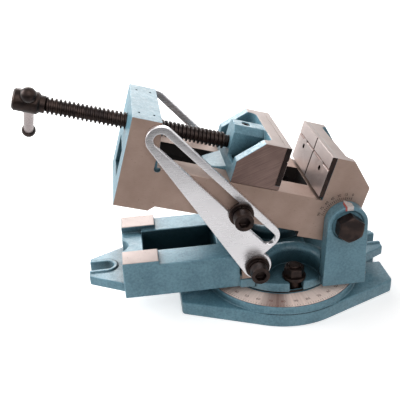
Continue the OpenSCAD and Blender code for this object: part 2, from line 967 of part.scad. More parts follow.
module front_pivot_bolt() {
    pivot_bolt();
}

module rear_pivot_bolt() {
    mirror([0, 1, 0])
        pivot_bolt();
}

// Movable jaw

module jaw_profile() {
    polygon([
        [jaw_back, jaw_floor_w],
        [movable_face, jaw_floor_w],
        [movable_face, rail_w + movable_ledge_h],
        [movable_plate_back, rail_w + movable_ledge_h],
        [movable_plate_back, jaw_top_w],
        [movable_plate_back - jaw_top_l, jaw_top_w],
        [jaw_back, rail_w + jaw_back_h]
    ]);
}

// The pocket between the side ribs, open over a sill at its back; the screw boss stands in it
pocket_corner_r = 6;
pocket_floor_rise = 7;
pocket_sill_rise = 13;

module jaw_pocket() {
    half_w = vise_half_w - jaw_rib_t;
    translate([0, 0, jaw_floor_w + pocket_floor_rise])
        linear_extrude(jaw_top_w)
            polygon(rounded([
                [jaw_back + jaw_back_t, -half_w], [jaw_wall_back, -half_w],
                [jaw_wall_back, half_w], [jaw_back + jaw_back_t, half_w]
            ], pocket_corner_r));
    block(
        [jaw_back - cut, -half_w, jaw_floor_w + pocket_sill_rise],
        [jaw_back + 2 * jaw_back_t, half_w, jaw_top_w]
    );
}

module jaw_boss() {
    top = jaw_top_w - jaw_boss_drop;
    flat = jaw_boss_half_w - jaw_boss_chamfer;
    translate([jaw_back, 0, 0])
        rotate([90, 0, 90])
            linear_extrude(jaw_l - jaw_wall_t + cut)
                polygon([
                    [-jaw_boss_half_w, jaw_floor_w], [jaw_boss_half_w, jaw_floor_w],
                    [jaw_boss_half_w, top - jaw_boss_chamfer], [flat, top],
                    [-flat, top], [-jaw_boss_half_w, top - jaw_boss_chamfer]
                ]);
}

// The block between the rails, with a ramp towards the handle
module jaw_tongue() {
    half_w = gap_half_w - gap;
    ramp_h = pocket_floor_rise / 2;
    block([jaw_back, -half_w, keeper_top_w], [movable_plate_back, half_w, jaw_floor_w + cut]);
    intersection() {
        slab(-half_w, half_w)
            polygon([
                [jaw_back - ramp_l, keeper_top_w], [jaw_back + cut, keeper_top_w],
                [jaw_back + cut, jaw_floor_w + ramp_h], [jaw_back - ramp_l, rail_w - ramp_h]
            ]);
        translate([0, 0, keeper_top_w])
            linear_extrude(jaw_top_w)
                polygon([
                    [jaw_back - ramp_l, -ramp_tip_half_w], [jaw_back + cut, -half_w],
                    [jaw_back + cut, half_w], [jaw_back - ramp_l, ramp_tip_half_w]
                ]);
    }
}

module movable_jaw() {
    color(paint)
    tilted()
    difference() {
        union() {
            difference() {
                slab(-vise_half_w, vise_half_w)
                    jaw_profile();
                jaw_pocket();
            }
            jaw_boss();
            jaw_tongue();
        }
        translate([jaw_back - cut, 0, screw_w])
            rotate([0, 90, 0])
                cylinder(d = spigot_d + 2 * fit, h = spigot_l + cut + gap);
        translate([jaw_back + set_screw_u, 0, screw_w])
            cylinder(d = set_screw_d + 2 * fit, h = jaw_top_w);
        plate_screw_holes(movable_plate_back - plate_hole_l, plate_hole_l + cut);
        for (side = [-1, 1])
            translate([keeper_mid_u + side * keeper_screw_u, 0, keeper_top_w - cut])
                cylinder(d = plate_screw_d + 2 * fit, h = rail_w - keeper_top_w);
    }
}

module movable_jaw_plate() {
    color("#b9aca8")
    at_movable_face()
        jaw_plate(rail_w + movable_ledge_h);
}

module movable_jaw_screws() {
    color(black)
    at_movable_face()
        jaw_plate_screws();
}

module keeper_plate() {
    half_l = keeper_l / 2;
    color(iron)
    tilted()
    difference() {
        block(
            [keeper_mid_u - half_l, -keeper_half_w, keeper_top_w - keeper_t],
            [keeper_mid_u + half_l, keeper_half_w, keeper_top_w]
        );
        for (side = [-1, 1])
            translate([keeper_mid_u + side * keeper_screw_u, 0, keeper_top_w - keeper_t - cut])
                cylinder(d = plate_screw_d + 2 * fit, h = keeper_t + 2 * cut);
    }
}

module keeper_screws() {
    color(black)
    tilted()
    for (side = [-1, 1])
        translate([keeper_mid_u + side * keeper_screw_u, 0, keeper_top_w - keeper_t])
            rotate([180, 0, 0])
                socket_screw(
                    plate_screw_d, plate_screw_d * 3 / 2, plate_screw_d,
                    keeper_t + lip_t - cut, plate_screw_d * 3 / 4, plate_screw_d / 2
                );
}

// The groove in the screw's plain end that the set screw reaches into
retain_depth = 1.6;
retain_w = 2 * fit + set_screw_d;

module jaw_set_screw() {
    low = screw_w + spigot_d / 2 - retain_depth + gap;
    high = jaw_top_w - 2 * cut;
    color(black)
    tilted()
    translate([jaw_back + set_screw_u, 0, 0])
    difference() {
        translate([0, 0, low])
            cylinder(d = set_screw_d, h = high - low);
        translate([0, 0, high - set_screw_d / 2])
            hex(set_screw_d / 2, set_screw_d);
    }
}

// Screw and handle

// One turn of the thread's outline, from its place along the screw
thread_flat = 0.36;
function thread_turn(z) = [
    [thread_root_r, z],
    [thread_root_r, z + screw_pitch * thread_flat],
    [screw_d / 2, z + screw_pitch / 2],
    [screw_d / 2, z + screw_pitch / 2 + screw_pitch * thread_flat]
];

// Outline of the screw from its head's end at zero: the thread is drawn as rings of its own section
head_edge = 2;
thread_z = head_l + shank_l;
thread_turns = floor((screw_l - shank_l - screw_pitch) / screw_pitch);
screw_outline = concat(
    [[0, 0], [head_d / 2 - head_edge, 0], [head_d / 2, head_edge]],
    [[head_d / 2, head_l - head_edge], [head_d / 2 - head_edge, head_l]],
    [[shank_d / 2, head_l], [shank_d / 2, thread_z]],
    [for (i = [0:thread_turns - 1]) each thread_turn(thread_z + i * screw_pitch)],
    [[thread_root_r, thread_z + thread_turns * screw_pitch], [thread_root_r, head_l + screw_l - gap]],
    [[spigot_d / 2, head_l + screw_l - gap]],
    [for (side = [-1, 1], deep = side < 0 ? [0, 1] : [1, 0])
        [spigot_d / 2 - deep * retain_depth, head_l + screw_l + set_screw_u + side * (retain_w / 2 + gap)]],
    [[spigot_d / 2, head_l + screw_l + spigot_l], [0, head_l + screw_l + spigot_l]]
);

module along_screw() {
    tilted()
        translate([head_end, 0, screw_w])
            rotate([0, 90, 0])
                children();
}

// The handle's frame, at the middle of the head's cross hole, with z along the bar
module along_bar() {
    tilted()
        translate([bar_u, 0, screw_w])
            rotate([bar_lean, 0, 0])
                children();
}

module lead_screw() {
    color(black)
    difference() {
        along_screw()
            rotate_extrude()
                polygon(screw_outline);
        along_bar()
            cylinder(d = bar_d + 2 * fit, h = 2 * head_d, center = true);
    }
}

module handle_bar() {
    color(black)
    along_bar()
        translate([0, 0, ball_seat - bar_l])
            cylinder(d = bar_d, h = bar_l);
}

module handle_ball(z) {
    color(black)
    along_bar()
    difference() {
        translate([0, 0, z])
            sphere(d = ball_d);
        translate([0, 0, ball_seat - bar_l])
            cylinder(d = bar_d, h = bar_l);
    }
}

module handle_upper_ball() {
    handle_ball(ball_seat);
}

module handle_lower_ball() {
    handle_ball(ball_seat - bar_l);
}

// Arms

slot_r = slot_w / 2;
arm_r = slot_r + arm_rim;

// The arm stands upright here: its lower bolt at zero, its slot along y
slot_low = [slot_off, slot_place(0) - gap];
slot_high = [slot_off, slot_place(90) + gap];
slot_end = slot_low - [0, slot_spare];

function arc(c, r, from, to) = [
    for (i = [0:arc_steps])
        let (turn = from + (to - from) * i / arc_steps)
        c + r * [cos(turn), sin(turn)]
];

// Direction that the arm's long straight edge faces
arm_edge_face = atan2(slot_high.y, slot_high.x) + acos((arm_end_r - arm_r) / norm(slot_high));
// Direction from the lower bolt to the inner corner beside the slot
arm_corner_face = asin((slot_low.y - arm_r) / arm_end_r);

module arm_outline() {
    polygon(concat(
        arc(slot_low, arm_r, -90, 0),
        arc(slot_high, arm_r, 0, arm_edge_face),
        arc([0, 0], arm_end_r, arm_edge_face, 360 + arm_corner_face)
    ));
}

module arm() {
    color(steel)
    slab(-arm_out_y, -arm_in_y)
        translate(arm_bolt_at)
            rotate(90 - slot_rise)
                difference() {
                    arm_outline();
                    circle(d = arm_d + 2 * fit);
                    for (end = [slot_end, slot_high])
                        translate(end)
                            circle(slot_r);
                    translate(slot_end - [slot_r, 0])
                        square([slot_w, slot_high.y - slot_end.y]);
                }
}

module front_arm() {
    arm();
}

module rear_arm() {
    mirror([0, 1, 0])
        arm();
}

module lock_bolt() {
    color(black)
    facing_front(lock_bolt_at, arm_head_in_y)
        socket_screw(
            arm_d, arm_head_d, arm_head_h,
            arm_head_in_y - vise_half_w - gap, socket_af, socket_depth
        );
}

module lock_washer() {
    color(black)
    facing_front(lock_bolt_at, washer_in_y)
        washer(washer_d, arm_d + 2 * fit, washer_t);
}

module lock_spring_washer() {
    color(black)
    facing_front(lock_bolt_at, washer_out_y)
        washer(spring_washer_d, arm_d + 2 * fit, spring_washer_t);
}

module front_lock_bolt() {
    lock_bolt();
}

module front_lock_washer() {
    lock_washer();
}

module front_lock_spring_washer() {
    lock_spring_washer();
}

module rear_lock_bolt() {
    mirror([0, 1, 0])
        lock_bolt();
}

module rear_lock_washer() {
    mirror([0, 1, 0])
        lock_washer();
}

module rear_lock_spring_washer() {
    mirror([0, 1, 0])
        lock_spring_washer();
}

swivel_base();
swivel_pin();
swivel_body();
front_t_bolt();
rear_t_bolt();
clamp_nuts();
clamp_washers();
front_arm_bolt();
rear_arm_bolt();
arm_bolt_washers();
arm_bolt_spring_washers();
angle_pointer();
vise_body();
fixed_jaw_plate();
fixed_jaw_screws();
front_pivot_bolt();
rear_pivot_bolt();
movable_jaw();
movable_jaw_plate();
movable_jaw_screws();
keeper_plate();
keeper_screws();
jaw_set_screw();
lead_screw();
handle_bar();
handle_upper_ball();
handle_lower_ball();
front_arm();
front_lock_bolt();
front_lock_washer();
front_lock_spring_washer();
rear_arm();
rear_lock_bolt();
rear_lock_washer();
rear_lock_spring_washer();
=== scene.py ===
"""Looks of the tilting drill press vise: castings with rounded edges, a true screw thread, dial marks,
procedural materials, a pale floor, soft light and the photograph's view. Lengths are in metres, unless a
comment says millimetres."""

import json
import math
import bmesh
import bpy
from mathutils import Matrix, Vector

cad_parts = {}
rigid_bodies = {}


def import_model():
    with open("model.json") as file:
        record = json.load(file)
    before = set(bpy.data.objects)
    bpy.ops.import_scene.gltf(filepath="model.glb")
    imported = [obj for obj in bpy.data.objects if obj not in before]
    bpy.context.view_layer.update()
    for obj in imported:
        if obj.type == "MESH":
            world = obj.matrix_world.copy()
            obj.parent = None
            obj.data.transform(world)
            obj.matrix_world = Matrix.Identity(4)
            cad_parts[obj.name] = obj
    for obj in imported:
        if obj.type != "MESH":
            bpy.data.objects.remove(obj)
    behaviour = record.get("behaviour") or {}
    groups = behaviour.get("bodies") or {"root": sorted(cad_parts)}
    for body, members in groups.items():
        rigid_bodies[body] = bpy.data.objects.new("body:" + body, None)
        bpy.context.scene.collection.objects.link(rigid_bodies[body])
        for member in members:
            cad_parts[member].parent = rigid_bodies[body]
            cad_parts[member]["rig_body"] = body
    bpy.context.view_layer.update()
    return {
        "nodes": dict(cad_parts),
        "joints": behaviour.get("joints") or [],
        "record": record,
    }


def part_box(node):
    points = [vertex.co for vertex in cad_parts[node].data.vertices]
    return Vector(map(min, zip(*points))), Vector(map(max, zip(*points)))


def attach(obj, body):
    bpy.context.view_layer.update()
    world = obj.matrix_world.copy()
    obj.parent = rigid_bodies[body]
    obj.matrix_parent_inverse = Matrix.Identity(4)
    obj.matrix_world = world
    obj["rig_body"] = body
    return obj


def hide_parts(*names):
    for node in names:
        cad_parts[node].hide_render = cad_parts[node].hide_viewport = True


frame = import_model()
joints = {joint["name"]: joint for joint in frame["joints"]}
MM = 0.001

# The photograph's view, found by fitting the base, the jaws and the bolts
VIEW_AZIMUTH = math.radians(-5.89)
VIEW_ELEVATION = math.radians(27.47)
VIEW_ROLL = math.radians(-2.74)
VIEW_DISTANCE = 641.62 * MM
VIEW_TARGET = Vector((-83.65, 0, 107.64)) * MM
FOCAL_PIXELS, PHOTO_PIXELS = 627.31, 400

# The vise's own frame: u along the screw, y across, w square to the rails, zero on the tilt axis
along = Vector(joints["jaw_slide"]["axis"]).normalized()
square = along.cross(Vector((0, 1, 0)))
pivot = Vector(joints["tilt"]["pos_m"])
VISE = Matrix((along, (0, 1, 0), square)).transposed().to_4x4()
VISE.translation = pivot
TO_VISE = VISE.inverted()
# The frame of the whole part, on the table with z along the swivel axis
PART = Matrix.Identity(4)
UP = Vector((0, 0, 1))


def srgb(*colour):
    """A colour as it looks on a screen, from 0 to 1, as the linear colour that shaders take."""
    return (*(c / 12.92 if c <= 0.04045 else ((c + 0.055) / 1.055) ** 2.4 for c in colour), 1)


# Materials

HOLLOW_SAMPLES = 8
# The part of a noise's range that is used: its middle, or a wider middle
MIDDLE, WIDE_MIDDLE = (0.35, 0.65), (0.3, 0.7)


class Shader:
    """A material, with short calls that add nodes to it."""

    def __init__(self, name, roughness, metallic=0.0, specular=0.5):
        self.material = bpy.data.materials.new(name)
        self.material.use_nodes = True
        self.tree = self.material.node_tree
        self.surface = self.tree.nodes["Principled BSDF"]
        self.surface.inputs["Metallic"].default_value = metallic
        self.surface.inputs["Roughness"].default_value = roughness
        self.surface.inputs["Specular IOR Level"].default_value = specular
        self.place = self.node("ShaderNodeTexCoord").outputs["Object"]

    def node(self, kind, **inputs):
        node = self.tree.nodes.new(kind)
        for name, value in inputs.items():
            self.set(node.inputs[name], value)
        return node

    def set(self, socket, value):
        if isinstance(value, bpy.types.NodeSocket):
            self.tree.links.new(value, socket)
        else:
            socket.default_value = value

    def turned(self, frame_matrix):
        """Places measured in another frame, such as the tilted vise's."""
        move = self.node("ShaderNodeMapping", Vector=self.place)
        back = frame_matrix.inverted()
        move.inputs["Location"].default_value = back.translation
        move.inputs["Rotation"].default_value = back.to_euler()
        return move.outputs["Vector"]

    def stretched(self, place, scale):
        return self.node("ShaderNodeMapping", Vector=place, Scale=scale).outputs["Vector"]

    def noise(self, scale, detail, place=None):
        node = self.node("ShaderNodeTexNoise", Vector=place or self.place, Scale=scale, Detail=detail)
        return node.outputs["Fac"]

    def noise_along(self, value, scale):
        """Noise that changes with one value only."""
        node = self.node("ShaderNodeTexNoise", Scale=1.0, Detail=2.0)
        node.noise_dimensions = "1D"
        self.set(node.inputs["W"], self.times(value, scale))
        return node.outputs["Fac"]

    def between(self, value, low, high, out_low=0.0, out_high=1.0):
        node = self.node("ShaderNodeMapRange", Value=value)
        node.inputs["From Min"].default_value = low
        node.inputs["From Max"].default_value = high
        node.inputs["To Min"].default_value = out_low
        node.inputs["To Max"].default_value = out_high
        return node.outputs["Result"]

    def blend(self, factor, first, second):
        node = self.tree.nodes.new("ShaderNodeMix")
        node.data_type = "RGBA"
        self.set(node.inputs[0], factor)
        self.set(node.inputs[6], first)
        self.set(node.inputs[7], second)
        return node.outputs[2]

    def math(self, operation, first, second):
        node = self.tree.nodes.new("ShaderNodeMath")
        node.operation = operation
        self.set(node.inputs[0], first)
        self.set(node.inputs[1], second)
        return node.outputs[0]

    def plus(self, first, second):
        return self.math("ADD", first, second)

    def times(self, first, second):
        return self.math("MULTIPLY", first, second)

    def mean(self, first, second):
        return self.plus(self.times(first, 0.5), self.times(second, 0.5))

    def openness(self, reach, low, high):
        """From 0 deep in one of the piece's own hollows to 1 on an open face."""
        node = self.node("ShaderNodeAmbientOcclusion", Distance=reach)
        node.samples = HOLLOW_SAMPLES
        node.only_local = True
        return self.between(node.outputs["AO"], low, high)

    def axis(self, place, name):
        return self.node("ShaderNodeSeparateXYZ", Vector=place).outputs[name]

    def bump(self, height, depth, strength):
        node = self.node("ShaderNodeBump", Height=height, Strength=strength, Distance=depth)
        self.set(self.surface.inputs["Normal"], node.outputs["Normal"])

    def finish(self, colour, roughness=None):
        self.set(self.surface.inputs["Base Color"], colour)
        if roughness is not None:
            self.set(self.surface.inputs["Roughness"], roughness)
        return self.material


# Enamel: scales of its noise per metre, its specks and its grain
PAINT_CLOUDS, PAINT_MOTTLE, MOTTLE_RANGE = 38, 420, (0.4, 0.6)
PAINT_SPECKS, SPECK_RANGE, SPECK_SHARE, SPECK_TONE = 700, (0.6, 0.72), 0.35, srgb(0.16, 0.25, 0.29)
PAINT_GRAIN, PAINT_WAVES, WAVE_SHARE = 620, 150, 1.6
PAINT_DEPTH, PAINT_BUMP = 0.3 * MM, 0.8
PAINT_SHINE, PAINT_SHINE_SCALE, PAINT_SHINE_RANGE = 0.34, 240, (0.28, 0.44)
# Painted shade: the deep teal laid over the enamel in its hollows, and the openness above which none is
# laid
PAINT_HOLLOW_SHADE, HOLLOW_SHADE_CLEAR = srgb(0.05, 0.16, 0.19), 0.9


def paint_material(name, light, dark, reach, hollow=0.35):
    """Enamel over a sand casting: soft mottling, a grain that shows in the gloss, and painted shade in
    hollows
    narrower than about reach: a deep teal that covers the paint where the openness is hollow or less."""
    s = Shader(name, PAINT_SHINE)
    mottle = s.between(s.mean(s.noise(PAINT_CLOUDS, 4), s.noise(PAINT_MOTTLE, 3)), *MOTTLE_RANGE)
    speck = s.between(s.noise(PAINT_SPECKS, 2), *SPECK_RANGE)
    colour = s.blend(mottle, dark, light)
    colour = s.blend(s.times(speck, SPECK_SHARE), colour, SPECK_TONE)
    # Painted shade: a deep teal over the paint in the piece's own hollows
    colour = s.blend(s.openness(reach, hollow, HOLLOW_SHADE_CLEAR), PAINT_HOLLOW_SHADE, colour)
    height = s.plus(s.noise(PAINT_GRAIN, 3), s.times(s.noise(PAINT_WAVES, 2), WAVE_SHARE))
    s.bump(height, PAINT_DEPTH, PAINT_BUMP)
    return s.finish(colour, s.between(s.noise(PAINT_SHINE_SCALE, 3), *WIDE_MIDDLE, *PAINT_SHINE_RANGE))


# Machined iron: its clouds and its pits, as noise per metre, and the depth of its tool marks
IRON_CLOUDS, IRON_TONES = 30, (0.25, 0.75)
IRON_PITS, PIT_RANGE, PIT_SHARE, PIT_TONE = 420, (0.66, 0.74), 0.35, srgb(0.30, 0.25, 0.24)
TOOL_DEPTH, TOOL_BUMP = 0.02 * MM, 0.5


def machined_material(
        name, light, dark, place_frame, lines, roughness=(0.42, 0.56), metallic=0.3, share=0.35):
    """Milled or ground iron: fine lines one way, a cloudy tone and small pits. Lines holds how often the
    tool marks change along each axis of place_frame, and share how much they show in the tone."""
    s = Shader(name, roughness[0], metallic=metallic, specular=0.4)
    place = s.turned(place_frame)
    tool = s.noise(1.0, 2, s.stretched(place, lines))
    cloud = s.noise(IRON_CLOUDS, 4, place)
    pit = s.between(s.noise(IRON_PITS, 2, place), *PIT_RANGE)
    low, high = (limit + share / 2 for limit in IRON_TONES)
    tone = s.between(s.plus(s.times(tool, share), cloud), low, high)
    colour = s.blend(tone, dark, light)
    colour = s.blend(s.times(pit, PIT_SHARE), colour, PIT_TONE)
    s.bump(tool, TOOL_DEPTH, TOOL_BUMP)
    return s.finish(colour, s.between(tool, *WIDE_MIDDLE, *roughness))


# Black oxide: clouds of wear, a fine grain and an uneven shine
OXIDE_CLOUDS, OXIDE_RANGE = 120, (0.4, 0.7)
OXIDE_GRAIN, OXIDE_DEPTH, OXIDE_BUMP = 1500, 0.03 * MM, 0.6
OXIDE_SHINE, OXIDE_SHINE_SCALE, OXIDE_SHINE_RANGE = 0.4, 300, (0.30, 0.46)


def black_steel_material(name, dark, light):
    """Black oxide over steel, slightly brown where it has rubbed thin."""
    s = Shader(name, OXIDE_SHINE, metallic=0.7, specular=0.4)
    colour = s.blend(s.between(s.noise(OXIDE_CLOUDS, 4), *OXIDE_RANGE), dark, light)
    s.bump(s.noise(OXIDE_GRAIN, 2), OXIDE_DEPTH, OXIDE_BUMP)
    return s.finish(colour, s.between(s.noise(OXIDE_SHINE_SCALE, 3), *WIDE_MIDDLE, *OXIDE_SHINE_RANGE))


# Dark matte faces, partly painted shade, and stamped marks
MATTE_ROUGHNESS, MATTE_CLOUDS = 0.7, 60
MATTE_GRAIN, MATTE_DEPTH, MATTE_BUMP = 700, 0.12 * MM, 0.6


def raw_material(name, light, dark):
    """A dull matte colour: dark on the faces inside the vise's channel and, as painted shade, on the side
    of the base's seat; or the dull colour of a stamped mark.
    """
    s = Shader(name, MATTE_ROUGHNESS, specular=0.2)
    s.bump(s.noise(MATTE_GRAIN, 3), MATTE_DEPTH, MATTE_BUMP)
    return s.finish(s.blend(s.between(s.noise(MATTE_CLOUDS, 4), *MIDDLE), dark, light))


# Bright steel: drawn lines, dents and clouds
DRAWN_LINES, LINE_SHARE = (40, 100, 700), 0.3
DENTS, DENT_RANGE, DENT_SHARE, DENT_TONE = 130, (0.70, 0.78), 0.15, srgb(0.55, 0.53, 0.52)
STEEL_CLOUDS, STEEL_RANGE = 30, (0.45, 0.85)
STEEL_SHINE, STEEL_SHINE_RANGE = 0.28, (0.26, 0.30)


def plated_material(name, light, dark):
    """Bright steel, plated or bare, with faint drawn lines and dents."""
    s = Shader(name, STEEL_SHINE, metallic=0.75)
    place = s.turned(PART)
    lines = s.noise(1.0, 1, s.stretched(place, DRAWN_LINES))
    dent = s.between(s.noise(DENTS, 2, place), *DENT_RANGE)
    tone = s.plus(s.times(lines, LINE_SHARE), s.noise(STEEL_CLOUDS, 2, place))
    colour = s.blend(s.between(tone, *STEEL_RANGE), dark, light)
    colour = s.blend(s.times(dent, DENT_SHARE), colour, DENT_TONE)
    return s.finish(colour, s.between(lines, *WIDE_MIDDLE, *STEEL_SHINE_RANGE))


# Painted reflection of the dial: tones painted into its colour on its way round, from the -x side: share of
# a turn, tone
DIAL_PAINTED_SHEEN = (
    (0.0, 0.6), (0.06, 0.2), (0.12, 0.9), (0.165, 1.0), (0.19, 0.3), (0.215, 0.1), (0.24, 0.9),
    (0.36, 1.0), (0.45, 0.3), (0.56, 1.0), (0.66, 0.2), (0.75, 0.9), (0.88, 0.4), (1.0, 0.6))
# Fine streaks in a turn, and fine rings per metre of radius
DIAL_STREAKS, DIAL_RINGS, DIAL_FINE_SHARE = 160, 2400, 0.35
DIAL_ROUGHNESS, DIAL_TONES = 0.8, (0.35, 1.35)


def dial_material(name, light, dark):
    """A turned face: rings round the swivel axis, with a painted reflection that makes its colour lighter
    and darker on the way round.
    """
    s = Shader(name, DIAL_ROUGHNESS, metallic=1.0, specular=0.4)
    radius = s.node("ShaderNodeVectorMath", Vector=s.stretched(s.place, (1, 1, 0)))
    radius.operation = "LENGTH"
    rings = s.noise_along(radius.outputs["Value"], DIAL_RINGS)
    round_by = s.node("ShaderNodeTexGradient", Vector=s.place)
    round_by.gradient_type = "RADIAL"
    streaks = s.noise_along(round_by.outputs["Fac"], DIAL_STREAKS)
    # Painted reflection: a tone for each angle round the swivel axis
    painted_sheen = s.node("ShaderNodeValToRGB", Fac=round_by.outputs["Fac"])
    stops = painted_sheen.color_ramp.elements
    stops.remove(stops[1])
    stops[0].color = (DIAL_PAINTED_SHEEN[0][1],) * 3 + (1,)
    for place, tone in DIAL_PAINTED_SHEEN[1:]:
        stops.new(place).color = (tone, tone, tone, 1)
    fine = s.times(s.plus(rings, streaks), DIAL_FINE_SHARE)
    tone = s.between(s.plus(painted_sheen.outputs["Color"], fine), *DIAL_TONES)
    s.bump(rings, TOOL_DEPTH, TOOL_BUMP)
    return s.finish(s.blend(tone, dark, light))


# The pointer's red edge, from the tilt axis, and its wear
RED_EDGE = (-2.8 * MM, -2.0 * MM)
WEAR_SCALE, WEAR_RANGE, WEAR_SHARE = 700, (0.55, 0.7), 0.5


def pointer_material(name, white, red, worn):
    """White enamel with a worn red edge."""
    s = Shader(name, roughness=0.3)
    side = s.between(s.axis(s.place, "X"), *(pivot.x + edge for edge in RED_EDGE))
    wear = s.times(s.between(s.noise(WEAR_SCALE, 3), *WEAR_RANGE), WEAR_SHARE)
    return s.finish(s.blend(wear, s.blend(side, red, white), worn))


PAINT = paint_material("teal_enamel", srgb(0.46, 0.63, 0.695), srgb(0.36, 0.525, 0.59), reach=45 * MM)
# The swivel body's enamel: a darker copy of the same paint, painted shade, with painted shade reaching into
# wider hollows
BODY_PAINT_SHADED = paint_material(
    "body_enamel_painted_shade", srgb(0.45, 0.615, 0.68), srgb(0.355, 0.515, 0.58), reach=60 * MM, hollow=0.42)
# The movable jaw's enamel: a lighter copy of the same paint, painted light
JAW_PAINT_LIT = paint_material(
    "jaw_enamel_painted_light", srgb(0.51, 0.68, 0.745), srgb(0.42, 0.585, 0.65), reach=28 * MM)
IRON = machined_material(
    "milled_iron", srgb(0.73, 0.63, 0.58), srgb(0.62, 0.52, 0.47), VISE, lines=(200, 2500, 2500))
# The jaw's sides are ground at a slant
SLANTED = VISE @ Matrix.Rotation(math.radians(-38), 4, "Y")
JAW_SIDE = machined_material(
    "ground_jaw_side", srgb(0.57, 0.47, 0.44), srgb(0.43, 0.34, 0.315), SLANTED, lines=(30, 900, 900),
    share=0.9)
# A dark matte colour: on the inside of the vise's channel, and as painted shade on the side of the base's
# seat
DARK_MATTE_AND_SHADE = raw_material("dark_matte_and_painted_shade", srgb(0.14, 0.115, 0.105), srgb(0.09, 0.075, 0.07))
PAD = machined_material(
    "rest_pad_iron", srgb(0.72, 0.66, 0.64), srgb(0.63, 0.575, 0.555), PART, lines=(2500, 200, 2500))
RING = dial_material("dial_iron", srgb(0.98, 0.92, 0.89), srgb(0.60, 0.50, 0.47))
PLATE = machined_material(
    "ground_plate", srgb(0.82, 0.765, 0.75), srgb(0.74, 0.685, 0.67), VISE, lines=(2500, 4000, 200),
    roughness=(0.30, 0.42), metallic=0.45)
BLACK = black_steel_material("black_oxide", srgb(0.15, 0.115, 0.11), srgb(0.25, 0.195, 0.175))
ZINC = plated_material("bright_plate", srgb(0.93, 0.92, 0.93), srgb(0.88, 0.87, 0.88))
STEEL = plated_material("bare_steel", srgb(0.66, 0.60, 0.595), srgb(0.58, 0.52, 0.515))
POINTER = pointer_material(
    "pointer_enamel", srgb(0.90, 0.87, 0.86), srgb(0.78, 0.36, 0.33), srgb(0.60, 0.58, 0.56))
INK = raw_material("stamped_brown", srgb(0.50, 0.32, 0.27), srgb(0.42, 0.25, 0.21))
STAMP = raw_material("stamped_black", srgb(0.16, 0.14, 0.14), srgb(0.10, 0.09, 0.09))


# Meshes

# Corners nearer than MERGE count as one, faces within FLAT as one flat, and edges over SHARP are rounded
MERGE = 0.002 * MM
FLAT = math.radians(0.3)
SHARP = math.radians(25)
# The strongest setting by which large faces outweigh the small ones of a rounded edge
FACE_WEIGHT = 100


def add_piece(name, mesh, body, slot, *materials):
    piece = bpy.data.objects.new(name, mesh)
    bpy.context.scene.collection.objects.link(piece)
    for material in materials:
        mesh.materials.append(material)
    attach(piece, body)
    return piece


def mesh_of(bm, name):
    mesh = bpy.data.meshes.new(name)
    bm.to_mesh(mesh)
    bm.free()
    return mesh


def outward_mesh(bm, name):
    bmesh.ops.recalc_face_normals(bm, faces=bm.faces)
    return mesh_of(bm, name)


def node_body(node):
    return frame["nodes"][node]["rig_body"]


def node_slot(node):
    return next(s["material_slot"] for s in frame["record"]["subparts"] if s["node"] == node)


def flat_weighted(piece):
    """Shading that keeps large flat faces flat beside rounded edges."""
    piece.data.shade_smooth()
    modifier = piece.modifiers.new("flat_faces", "WEIGHTED_NORMAL")
    modifier.keep_sharp = True
    modifier.weight = FACE_WEIGHT


def clean_copy(node):
    """The node's mesh with its flat faces whole again."""
    bm = bmesh.new()
    bm.from_mesh(frame["nodes"][node].data)
    bmesh.ops.remove_doubles(bm, verts=bm.verts, dist=MERGE)
    bmesh.ops.dissolve_limit(bm, angle_limit=FLAT, verts=bm.verts, edges=bm.edges)
    bmesh.ops.connect_verts_concave(bm, faces=[f for f in bm.faces if len(f.verts) > 4])
    return bm


def round_edges(bm, edges, width, steps=2):
    bmesh.ops.bevel(
        bm, geom=edges, offset=width, offset_type="OFFSET", segments=steps, profile=0.5,
        affect="EDGES", clamp_overlap=False, material=-1)


def sharp_edges(bm, least=0.0):
    return [
        e for e in bm.edges
        if e.is_manifold and e.calc_face_angle(0) > SHARP and e.calc_length() > least]


def rounded_piece(node, width, materials, rule=None, steps=2, least=0.0):
    """A node with its sharp edges rounded, each face given the material that rule picks for it.
    Edges shorter than least, such as those round a flush screw, stay sharp."""
    bm = clean_copy(node)
    edges = sharp_edges(bm, least)
    if rule:
        for face in bm.faces:
            face.material_index = rule(face.calc_center_median(), face.normal)
    round_edges(bm, edges, width, steps)
    mesh = mesh_of(bm, node + "_rounded")
    piece = add_piece(node + "_rounded", mesh, node_body(node), node_slot(node), *materials)
    flat_weighted(piece)
    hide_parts(node)


# Castings: each rule gives the number of a face's material, from its middle and its normal

# How far a normal points along an axis: at least, where it faces that way, and at most, on a steep face
FACING, STEEP = 0.9, 0.5
NEAR = 0.2 * MM
# The base's seat for the swivel body, whose side gets painted shade under the flange, the body's rest pads
# and the faces under its arms
SEAT_Z, SEAT_R = 22.6 * MM, 60 * MM
PAD_Z = 70.4 * MM
ARM_FACE_Y, ARM_FACE_X = 50 * MM, -20 * MM
# In the vise's frame, in millimetres: machined sides, rails, fixed jaw's top, foot and the dark inside
SIDE_Y = 49
RAIL_W = (14, 17)
FIXED_TOP_W, FIXED_TOP_U = 58, -60
FOOT_W = -27
INSIDE_Y, INSIDE_W, INSIDE_U = 38, 15.9, (-200, -30)
# The movable jaw and both plates, in the same way: their tops, and the plates' grooves and feet
JAW_TOP_W = 59
GROOVE_SLOPE = (0.6, 0.8)
GROOVE_MIDDLE_Y, GROOVE_END_Y, PLATE_FOOT_W = 3, 40, 25


def in_vise(point, normal):
    """A face's place in millimetres and its normal, in the vise's own frame."""
    return TO_VISE @ point / MM, TO_VISE.to_3x3() @ normal


def base_rule(c, n):
    # The side of the seat under the swivel body's flange takes the dark colour: painted shade
    seat = abs(n.z) < STEEP and c.z > SEAT_Z and c.xy.length < SEAT_R
    return 1 if seat else 0


def body_rule(c, n):
    pad = n.z > FACING and abs(c.z - PAD_Z) < NEAR
    arm_face = abs(n.y) > FACING and abs(abs(c.y) - ARM_FACE_Y) < NEAR and c.x < ARM_FACE_X
    return 1 if pad else 2 if arm_face else 0


